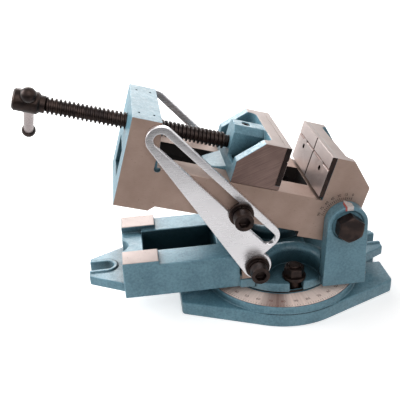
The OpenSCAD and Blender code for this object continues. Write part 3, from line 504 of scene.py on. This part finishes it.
def vise_rule(c, n):
    p, d = in_vise(c, n)
    side = abs(d.y) > FACING and abs(p.y) > SIDE_Y
    rail = d.z > FACING and RAIL_W[0] < p.z < RAIL_W[1]
    jaw_top = d.z > FACING and p.z > FIXED_TOP_W and p.x > FIXED_TOP_U
    foot = d.z < -FACING and p.z < FOOT_W
    within = abs(p.y) < INSIDE_Y and p.z < INSIDE_W and INSIDE_U[0] < p.x < INSIDE_U[1]
    if jaw_top:
        return 3
    if side or rail or foot:
        return 0
    # Upright faces inside the channel between the rails take the dark matte colour
    return 2 if within and abs(d.z) < FACING else 1


def jaw_rule(c, n):
    p, d = in_vise(c, n)
    side = abs(d.y) > FACING and abs(p.y) > SIDE_Y
    top = d.z > FACING and p.z > JAW_TOP_W
    face = d.x > FACING or d.z < -FACING
    return 1 if side or face else 2 if top else 0


def plate_rule(c, n):
    p, d = in_vise(c, n)
    level = abs(d.z) > GROOVE_SLOPE[0]
    upright_groove = abs(p.y) < GROOVE_MIDDLE_Y or abs(p.y) > GROOVE_END_Y
    groove = GROOVE_SLOPE[0] < abs(d.x) < GROOVE_SLOPE[1] and (upright_groove or level)
    end = abs(d.y) > FACING and abs(p.y) > SIDE_Y
    foot = d.z < -FACING and p.z < PLATE_FOOT_W
    if d.z > FACING and p.z > JAW_TOP_W:
        return 3
    if groove and level:
        return 2
    return 1 if groove or end or foot else 0


# The plates' screws, in millimetres in the vise's frame: their places, the plates' sinks and the sockets
PLATE_SCREW_Y, PLATE_SCREW_W, PLATE_SINK_R, PLATE_SOCKET_R = 28, 39, 8.06, 3.2
FIXED_FACE_U, MOVABLE_FACE_U = -33, -73.5
ON_FACE = 0.5


def flush_screws(node, face_u):
    """Plate screws ground level with the plate, so that only their sockets show."""
    bm = clean_copy(node)
    for vert in bm.verts:
        p = TO_VISE @ vert.co / MM
        if abs(p.x - face_u) > ON_FACE:
            continue
        middle = Vector((face_u, math.copysign(PLATE_SCREW_Y, p.y), PLATE_SCREW_W))
        out = Vector((0, p.y - middle.y, p.z - middle.z))
        if out.length > PLATE_SOCKET_R:
            out = out.normalized() * PLATE_SINK_R
        vert.co = VISE @ ((middle + out) * MM)
    bm.normal_update()
    for face in bm.faces:
        p, d = in_vise(face.calc_center_median(), face.normal)
        face.material_index = 0 if abs(d.x) > FACING and abs(p.x - face_u) < ON_FACE else 1
    mesh = mesh_of(bm, node + "_flush")
    piece = add_piece(node + "_flush", mesh, node_body(node), node_slot(node), PLATE, BLACK)
    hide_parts(node)


rounded_piece("swivel_base", 1.5 * MM, [PAINT, DARK_MATTE_AND_SHADE], base_rule)
rounded_piece("swivel_body", 1.2 * MM, [BODY_PAINT_SHADED, PAD, IRON], body_rule)
rounded_piece("vise_body", 0.4 * MM, [IRON, PAINT, DARK_MATTE_AND_SHADE, PAD], vise_rule)
rounded_piece("movable_jaw", 0.8 * MM, [JAW_PAINT_LIT, JAW_SIDE, PAD], jaw_rule)
for node in ("front_arm", "rear_arm"):
    rounded_piece(node, 0.8 * MM, [ZINC])
for node in ("fixed_jaw_plate", "movable_jaw_plate"):
    rounded_piece(node, 0.25 * MM, [PLATE, BLACK, JAW_SIDE, PAD], plate_rule, steps=1, least=1.2 * MM)
flush_screws("fixed_jaw_screws", FIXED_FACE_U)
flush_screws("movable_jaw_screws", MOVABLE_FACE_U)
rounded_piece("keeper_plate", 0.8 * MM, [IRON])
rounded_piece("angle_pointer", 0.3 * MM, [POINTER])
rounded_piece("swivel_pin", 0.8 * MM, [ZINC])


# Fasteners and handle

BOLT_EDGE, SCREW_EDGE = 0.6 * MM, 0.3 * MM
for node in (
        "front_arm_bolt", "rear_arm_bolt", "front_lock_bolt", "rear_lock_bolt", "arm_bolt_washers",
        "front_lock_washer", "rear_lock_washer", "clamp_washers", "front_t_bolt", "rear_t_bolt"):
    rounded_piece(node, BOLT_EDGE, [BLACK])
for node in ("keeper_screws", "jaw_set_screw"):
    rounded_piece(node, SCREW_EDGE, [BLACK])
rounded_piece("handle_bar", BOLT_EDGE, [STEEL])
for node in ("handle_upper_ball", "handle_lower_ball"):
    rounded_piece(node, BOLT_EDGE, [BLACK])


def on_circle(matrix, radius, turn, height):
    return matrix @ Vector((radius * math.cos(turn), radius * math.sin(turn), height))


def ring_of(bm, matrix, radius, height, count):
    """Corners round an axis: radius and height are functions of the angle."""
    turns = [math.tau * i / count for i in range(count)]
    return [bm.verts.new(on_circle(matrix, radius(turn), turn, height(turn))) for turn in turns]


def plain(value):
    """The same value at every angle."""
    return lambda turn: value


def skin(bm, first, second):
    for i in range(len(first)):
        j = (i + 1) % len(first)
        bm.faces.new((first[i], first[j], second[j], second[i]))


HEX_COUNT, HEX_SIDE = 96, math.radians(60)
# A hexagon's corners are turned off at this slope, from this share of its half width
HEX_SLOPE, HEX_FACE = math.tan(math.radians(30)), 0.96


def hex_head(bm, matrix, flats, tall, bore, turn_by=0.0):
    """A hexagon with its corners turned off at both ends, on z = 0 of matrix, with a bore or none."""
    half = flats / 2

    def hexagon(turn):
        return half / math.cos((turn + turn_by) % HEX_SIDE - HEX_SIDE / 2)

    def drop(turn):
        return (hexagon(turn) - HEX_FACE * half) * HEX_SLOPE

    def ring(radius, height):
        return ring_of(bm, matrix, radius, height, HEX_COUNT)

    low_face = ring(plain(HEX_FACE * half), plain(0))
    low = ring(hexagon, drop)
    high = ring(hexagon, lambda turn: tall - drop(turn))
    high_face = ring(plain(HEX_FACE * half), plain(tall))
    for first, second in ((low_face, low), (low, high), (high, high_face)):
        skin(bm, first, second)
    if bore:
        inner_low = ring(plain(bore), plain(0))
        inner_high = ring(plain(bore), plain(tall))
        for first, second in ((high_face, inner_high), (inner_high, inner_low), (inner_low, low_face)):
            skin(bm, first, second)
    else:
        bm.faces.new(low_face)
        bm.faces.new(high_face)


def looking(origin, axis, side):
    """A frame at origin with z along axis and x near side."""
    z = Vector(axis).normalized()
    y = z.cross(Vector(side)).normalized()
    matrix = Matrix((y.cross(z), y, z)).transposed().to_4x4()
    matrix.translation = origin
    return matrix


def node_box(node):
    return [Vector(p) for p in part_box(node)]


SMOOTH = math.radians(28)


def fastener_piece(node, bm):
    mesh = outward_mesh(bm, node + "_shaped")
    mesh.shade_smooth()
    mesh.set_sharp_from_angle(angle=SMOOTH)
    piece = add_piece(node + "_shaped", mesh, node_body(node), node_slot(node), BLACK)
    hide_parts(node)


# Spring washers: square wire, its ends apart by the split round the axis and by the rise along it
SPRING_STEPS, SPRING_SPLIT = 60, math.radians(6)
SPRING_INNER, SPRING_OUTER = 6.1 * MM, 10 * MM
SPRING_THICK, SPRING_RISE, SPRING_HALF = 2.5 * MM, 0.5 * MM, 1.5 * MM


def split_washer(bm, matrix):
    """A spring washer: most of a turn of square wire."""
    rows = []
    for i in range(SPRING_STEPS + 1):
        turn = SPRING_SPLIT / 2 + (math.tau - SPRING_SPLIT) * i / SPRING_STEPS
        low = SPRING_RISE * i / SPRING_STEPS
        high = low + SPRING_THICK
        corners = ((SPRING_INNER, low), (SPRING_OUTER, low), (SPRING_OUTER, high), (SPRING_INNER, high))
        rows.append([bm.verts.new(on_circle(matrix, r, turn, z)) for r, z in corners])
    for a, b in zip(rows, rows[1:]):
        skin(bm, a, b)
    bm.faces.new(rows[0])
    bm.faces.new(rows[-1])


def spring_washers(node, centres):
    bm = bmesh.new()
    for place in centres:
        out = Vector((0, math.copysign(1, place.y), 0))
        split_washer(bm, looking(place - out * SPRING_HALF, out, UP))
    fastener_piece(node, bm)


low, high = node_box("arm_bolt_spring_washers")
middle = (low + high) / 2
spring_washers("arm_bolt_spring_washers", [
    Vector((middle.x, low.y + SPRING_HALF, middle.z)), Vector((middle.x, high.y - SPRING_HALF, middle.z))])
for node in ("front_lock_spring_washer", "rear_lock_spring_washer"):
    low, high = node_box(node)
    spring_washers(node, [(low + high) / 2])


NUT_FLATS, NUT_BORE = 18 * MM, 6.06 * MM


def clamp_nuts():
    low, high = node_box("clamp_nuts")
    bm = bmesh.new()
    for y in (low.y + NUT_FLATS / 2, high.y - NUT_FLATS / 2):
        origin = Vector(((low.x + high.x) / 2, y, low.z))
        hex_head(bm, looking(origin, UP, (1, 0, 0)), NUT_FLATS, high.z - low.z, NUT_BORE)
    fastener_piece("clamp_nuts", bm)


clamp_nuts()


ROD_COUNT = 64


def plain_rod(bm, matrix, radius, start, end):
    rings = [ring_of(bm, matrix, plain(radius), plain(z), ROD_COUNT) for z in (start, end)]
    skin(bm, *rings)
    for ring in rings:
        bm.faces.new(ring)


# Pivot bolts: how far their hexagons are turned, and how far the rod runs into the head
PIVOT_TURN = math.radians(41)
PIVOT_FLATS, PIVOT_HEAD, PIVOT_R, PIVOT_OVERLAP = 24 * MM, 12 * MM, 8 * MM, 1 * MM


def pivot_bolts():
    for node, side in (("front_pivot_bolt", -1), ("rear_pivot_bolt", 1)):
        low, high = node_box(node)
        top, tail = (low.y, high.y) if side < 0 else (high.y, low.y)
        origin = Vector((pivot.x, top - side * PIVOT_HEAD, pivot.z))
        bm = bmesh.new()
        matrix = looking(origin, (0, side, 0), along)
        hex_head(bm, matrix, PIVOT_FLATS, PIVOT_HEAD, None, side * PIVOT_TURN)
        plain_rod(bm, matrix, PIVOT_R, -abs(origin.y - tail), PIVOT_OVERLAP)
        fastener_piece(node, bm)


pivot_bolts()


# Screw

SCREW_PITCH, SCREW_OUTER, SCREW_ROOT = 4 * MM, 8 * MM, 6 * MM
THREAD_FROM, THREAD_TO, THREAD_STEPS = -300 * MM, -125 * MM, 40
# Where the solid's head and shank, and its plain end, are cut off to take the thread
SHANK_CUT, END_CUT = -297.8 * MM, -125.5 * MM
SHANK_EDGE = 0.4 * MM
# One turn of the thread: radius, share of the pitch
THREAD_SHAPE = ((SCREW_ROOT, 0), (SCREW_ROOT, 0.36), (SCREW_OUTER, 0.5), (SCREW_OUTER, 0.86))


def screw_thread(bm, matrix, start, end):
    """A helical thread along z of matrix, closed at both ends."""
    steps = round((end - start) / SCREW_PITCH * THREAD_STEPS) - THREAD_STEPS
    rows = []
    for i in range(steps + 1):
        turn = math.tau * i / THREAD_STEPS
        z = start + SCREW_PITCH * i / THREAD_STEPS
        rows.append([
            bm.verts.new(on_circle(matrix, r, turn, z + share * SCREW_PITCH)) for r, share in THREAD_SHAPE])
    for i in range(steps):
        for k in range(3):
            bm.faces.new((rows[i][k], rows[i][k + 1], rows[i + 1][k + 1], rows[i + 1][k]))
        above = i + THREAD_STEPS
        if above < steps:
            bm.faces.new((rows[i][3], rows[above][0], rows[above + 1][0], rows[i + 1][3]))
    low_axis = bm.verts.new(matrix @ Vector((0, 0, start + SCREW_PITCH / 2)))
    high_axis = bm.verts.new(matrix @ Vector((0, 0, end - SCREW_PITCH / 2)))
    first = [row[0] for row in rows[:THREAD_STEPS + 1]] + [rows[0][k] for k in (3, 2, 1)]
    last = [row[3] for row in rows[-THREAD_STEPS - 1:]] + [rows[steps][k] for k in (2, 1, 0)]
    for ring, axis in ((first, low_axis), (last, high_axis)):
        for a, b in zip(ring, ring[1:] + ring[:1]):
            bm.faces.new((a, b, axis))


def lead_screw():
    """The screw's head, shank and plain end as drawn in the solids, with a true thread between them."""
    bm = bmesh.new()
    axis_place = Vector(joints["screw_turn"]["pos_m"])
    for place, outward in ((SHANK_CUT, 1), (END_CUT, -1)):
        part = clean_copy("lead_screw")
        geometry = part.verts[:] + part.edges[:] + part.faces[:]
        bmesh.ops.bisect_plane(
            part, geom=geometry, plane_co=axis_place + along * place, plane_no=along * outward,
            clear_outer=True)
        bmesh.ops.holes_fill(part, edges=[e for e in part.edges if e.is_boundary])
        round_edges(part, sharp_edges(part), SHANK_EDGE)
        holder = mesh_of(part, "part")
        bm.from_mesh(holder)
        bpy.data.meshes.remove(holder)
    screw_thread(bm, looking(axis_place, along, (0, 1, 0)), THREAD_FROM, THREAD_TO)
    fastener_piece("lead_screw", bm)


lead_screw()


# Dials

MARK_DEPTH = 0.06 * MM
CURVE_STEPS = 3


def thin_box(bm, matrix, size):
    bmesh.ops.create_cube(bm, size=1, matrix=matrix @ Matrix.Diagonal((*size, 1)))


def figures(bm, text, height, matrix):
    """A number as thin raised strokes."""
    curve = bpy.data.curves.new("figures", "FONT")
    curve.body = text
    curve.size = height
    curve.align_x = "CENTER"
    curve.align_y = "CENTER"
    curve.resolution_u = CURVE_STEPS
    curve.extrude = MARK_DEPTH / 2
    holder = bpy.data.objects.new("figures", curve)
    mesh = bpy.data.meshes.new_from_object(holder)
    mesh.transform(matrix)
    bm.from_mesh(mesh)
    bpy.data.objects.remove(holder)
    bpy.data.curves.remove(curve)
    bpy.data.meshes.remove(mesh)


def upright(origin, up, out):
    """A frame for a mark: y up, z out of the face."""
    matrix = Matrix((up.cross(out), up, out)).transposed().to_4x4()
    matrix.translation = origin
    return matrix


# The ring on the base, with its ticks and its figures every so many degrees
RING_Z, RING_COUNT = 22.5 * MM, 240
RING_INNER, RING_OUTER = 58.7 * MM, 81.4 * MM
LINE_OUTER, LINE_HIGH = RING_OUTER + 0.35 * MM, 1.5 * MARK_DEPTH
FIGURES_R, TICKS_R = 72.5 * MM, 79.2 * MM
TICK_EVERY, FIGURE_EVERY = 2, 10
TICK_W, TICK_NAMED, TICK_PLAIN, FIGURE_SIZE = 0.3 * MM, 3.2 * MM, 1.8 * MM, 4.6 * MM
# The tilt scale on the vise's near side, round the tilt axis, in the same way
SCALE_FACE, SCALE_TICKS_R, SCALE_FIGURES_R = 50.02 * MM, 22.3 * MM, 26.3 * MM
SCALE_TICK_EVERY, SCALE_FIGURE_EVERY, SCALE_END = 5, 15, 90
SCALE_TICK_W, SCALE_NAMED, SCALE_PLAIN, SCALE_FIGURE_SIZE = 0.5 * MM, 3 * MM, 2 * MM, 3.8 * MM


def flat_ring(bm, inner, outer, high):
    """A thin ring that lies on the base."""
    corners = ((inner, 0), (inner, high), (outer, high), (outer, 0))
    rings = [ring_of(bm, PART, plain(r), plain(RING_Z + h), RING_COUNT) for r, h in corners]
    for first, second in zip(rings, rings[1:] + rings[:1]):
        skin(bm, first, second)


def degree_ring():
    """The turned ring on the base, with its numbers, its ticks and the line round it."""
    bm = bmesh.new()
    flat_ring(bm, RING_INNER, RING_OUTER, MARK_DEPTH)
    add_piece("degree_ring", outward_mesh(bm, "degree_ring"), "base", "machined_casting", RING)

    bm = bmesh.new()
    face = UP * (RING_Z + MARK_DEPTH)
    for degree in range(0, 360, TICK_EVERY):
        turn = math.radians(degree)
        inward = -Vector((math.cos(turn), math.sin(turn), 0))
        named = degree % FIGURE_EVERY == 0
        tick = upright(face - inward * TICKS_R, inward, UP)
        thin_box(bm, tick, (TICK_W, TICK_NAMED if named else TICK_PLAIN, MARK_DEPTH))
        if named:
            # Numbers rise from 0 on the x axis to 90 on the y axis, four times round
            value = 90 - abs(degree - (270 if degree > 180 else 90))
            figures(bm, str(value), FIGURE_SIZE, upright(face - inward * FIGURES_R, inward, UP))
    flat_ring(bm, RING_OUTER, LINE_OUTER, LINE_HIGH)
    add_piece("degree_ring_marks", outward_mesh(bm, "degree_ring_marks"), "base", "black_steel", INK)


def tilt_scale():
    """The angle scale stamped on the vise's near side."""
    bm = bmesh.new()
    out = Vector((0, -1, 0))
    face = pivot + out * SCALE_FACE
    for degree in range(0, SCALE_END + 1, SCALE_TICK_EVERY):
        turn = math.radians(degree)
        away = (-math.sin(turn) * along + math.cos(turn) * square).normalized()
        named = degree % SCALE_FIGURE_EVERY == 0
        tick = (SCALE_TICK_W, SCALE_NAMED if named else SCALE_PLAIN, MARK_DEPTH)
        thin_box(bm, upright(face + away * SCALE_TICKS_R, away, out), tick)
        if named:
            place = upright(face + away * SCALE_FIGURES_R, away, out)
            figures(bm, str(degree), SCALE_FIGURE_SIZE, place)
    add_piece("tilt_scale", outward_mesh(bm, "tilt_scale"), "vise", "black_steel", STAMP)


degree_ring()
tilt_scale()


# Floor, light and camera

FLOOR_HALF, FLOOR_Z = 6.0, -0.2 * MM
# Where the white sweep ends in front of the object, as bright metal shows it
SWEEP_END, SWEEP_FADE = -0.52, 0.16
FLOOR_GREY, FLOOR_GLOW = 0.77, 0.62
# How far from the object the floor fades to white
FADE_FROM, FADE_TO = 0.45, 1.1


def add_node(tree, kind, operation=None):
    node = tree.nodes.new(kind)
    if operation:
        node.operation = operation
    return node


def soft_step(tree, value, low, high, out_low):
    """A soft rise from out_low to 1 as value goes from low to high."""
    node = add_node(tree, "ShaderNodeMapRange")
    node.interpolation_type = "SMOOTHSTEP"
    node.inputs["From Min"].default_value = low
    node.inputs["From Max"].default_value = high
    node.inputs["To Min"].default_value = out_low
    tree.links.new(value, node.inputs["Value"])
    return node.outputs["Result"]


def floor_material():
    """Matte grey that the camera sees as nearly white, and that bright metal mirrors as a white sweep."""
    material = bpy.data.materials.new("pale_floor")
    material.use_nodes = True
    tree = material.node_tree
    tree.nodes.clear()
    link = tree.links.new
    rays = add_node(tree, "ShaderNodeLightPath").outputs
    place = add_node(tree, "ShaderNodeTexCoord").outputs["Object"]
    split = add_node(tree, "ShaderNodeSeparateXYZ")
    link(place, split.inputs[0])
    mirrored = add_node(tree, "ShaderNodeEmission")
    sweep = soft_step(tree, split.outputs["Y"], SWEEP_END, SWEEP_END + SWEEP_FADE, 0.0)
    link(sweep, mirrored.inputs["Strength"])
    away = add_node(tree, "ShaderNodeVectorMath", "LENGTH")
    link(place, away.inputs[0])
    level = add_node(tree, "ShaderNodeMath", "MULTIPLY")
    link(soft_step(tree, away.outputs["Value"], FADE_FROM, FADE_TO, FLOOR_GLOW), level.inputs[0])
    link(rays["Is Camera Ray"], level.inputs[1])
    glow = add_node(tree, "ShaderNodeEmission")
    link(level.outputs[0], glow.inputs["Strength"])
    matte = add_node(tree, "ShaderNodeBsdfDiffuse")
    matte.inputs["Color"].default_value = (FLOOR_GREY, FLOOR_GREY, FLOOR_GREY, 1)
    lit = add_node(tree, "ShaderNodeAddShader")
    link(matte.outputs[0], lit.inputs[0])
    link(glow.outputs[0], lit.inputs[1])
    both = add_node(tree, "ShaderNodeMixShader")
    link(rays["Is Glossy Ray"], both.inputs[0])
    link(lit.outputs[0], both.inputs[1])
    link(mirrored.outputs[0], both.inputs[2])
    link(both.outputs[0], add_node(tree, "ShaderNodeOutputMaterial").inputs["Surface"])
    return material


def pale_floor():
    mesh = bpy.data.meshes.new("floor")
    corners = [(-1, -1), (1, -1), (1, 1), (-1, 1)]
    mesh.from_pydata([(x * FLOOR_HALF, y * FLOOR_HALF, FLOOR_Z) for x, y in corners], [], [(0, 1, 2, 3)])
    floor = bpy.data.objects.new("floor", mesh)
    bpy.context.scene.collection.objects.link(floor)
    mesh.materials.append(floor_material())


WORLD_FILL = 0.2


def white_world():
    """White as seen by the camera and in mirrors, and a weak fill light on everything else."""
    world = bpy.data.worlds.new("studio")
    bpy.context.scene.world = world
    world.use_nodes = True
    tree = world.node_tree
    rays = add_node(tree, "ShaderNodeLightPath").outputs
    seen = add_node(tree, "ShaderNodeMath", "MAXIMUM")
    tree.links.new(rays["Is Camera Ray"], seen.inputs[0])
    tree.links.new(rays["Is Glossy Ray"], seen.inputs[1])
    level = add_node(tree, "ShaderNodeMapRange")
    level.inputs["To Min"].default_value = WORLD_FILL
    level.inputs["To Max"].default_value = 1.0
    tree.links.new(seen.outputs[0], level.inputs["Value"])
    tree.links.new(level.outputs["Result"], tree.nodes["Background"].inputs["Strength"])
    tree.nodes["Background"].inputs["Color"].default_value = (1, 1, 1, 1)


# Round softboxes: name, place, diameter, watts
LAMPS = (
    ("key_lamp", (-1.25, 0.3, 0.8), 1.0, 17),
    ("back_lamp", (0.12, 1.23, 0.62), 1.0, 6),
    ("high_lamp", (-0.4, 1.15, 0.85), 0.8, 10),
    ("front_lamp", (0.1, -1.05, 1.05), 1.0, 5))


def soft_lamp(name, place, size, power):
    data = bpy.data.lights.new(name, "AREA")
    data.shape = "DISK"
    data.size = size
    data.energy = power
    lamp = bpy.data.objects.new(name, data)
    bpy.context.scene.collection.objects.link(lamp)
    lamp.location = place
    lamp.rotation_euler = (VIEW_TARGET - Vector(place)).to_track_quat("-Z", "Y").to_euler()


def photo_camera():
    back = Vector((
        math.sin(VIEW_AZIMUTH) * math.cos(VIEW_ELEVATION),
        -math.cos(VIEW_AZIMUTH) * math.cos(VIEW_ELEVATION),
        math.sin(VIEW_ELEVATION)))
    level = Vector((math.cos(VIEW_AZIMUTH), math.sin(VIEW_AZIMUTH), 0))
    right = level * math.cos(VIEW_ROLL) + back.cross(level) * math.sin(VIEW_ROLL)
    data = bpy.data.cameras.new("camera")
    data.lens = data.sensor_width * FOCAL_PIXELS / PHOTO_PIXELS
    camera = bpy.data.objects.new("camera", data)
    bpy.context.scene.collection.objects.link(camera)
    matrix = Matrix((right, back.cross(right), back)).transposed().to_4x4()
    matrix.translation = VIEW_TARGET + back * VIEW_DISTANCE
    camera.matrix_world = matrix
    bpy.context.scene.camera = camera


pale_floor()
white_world()
for lamp in LAMPS:
    soft_lamp(*lamp)
photo_camera()
bpy.context.scene.view_settings.view_transform = "Standard"
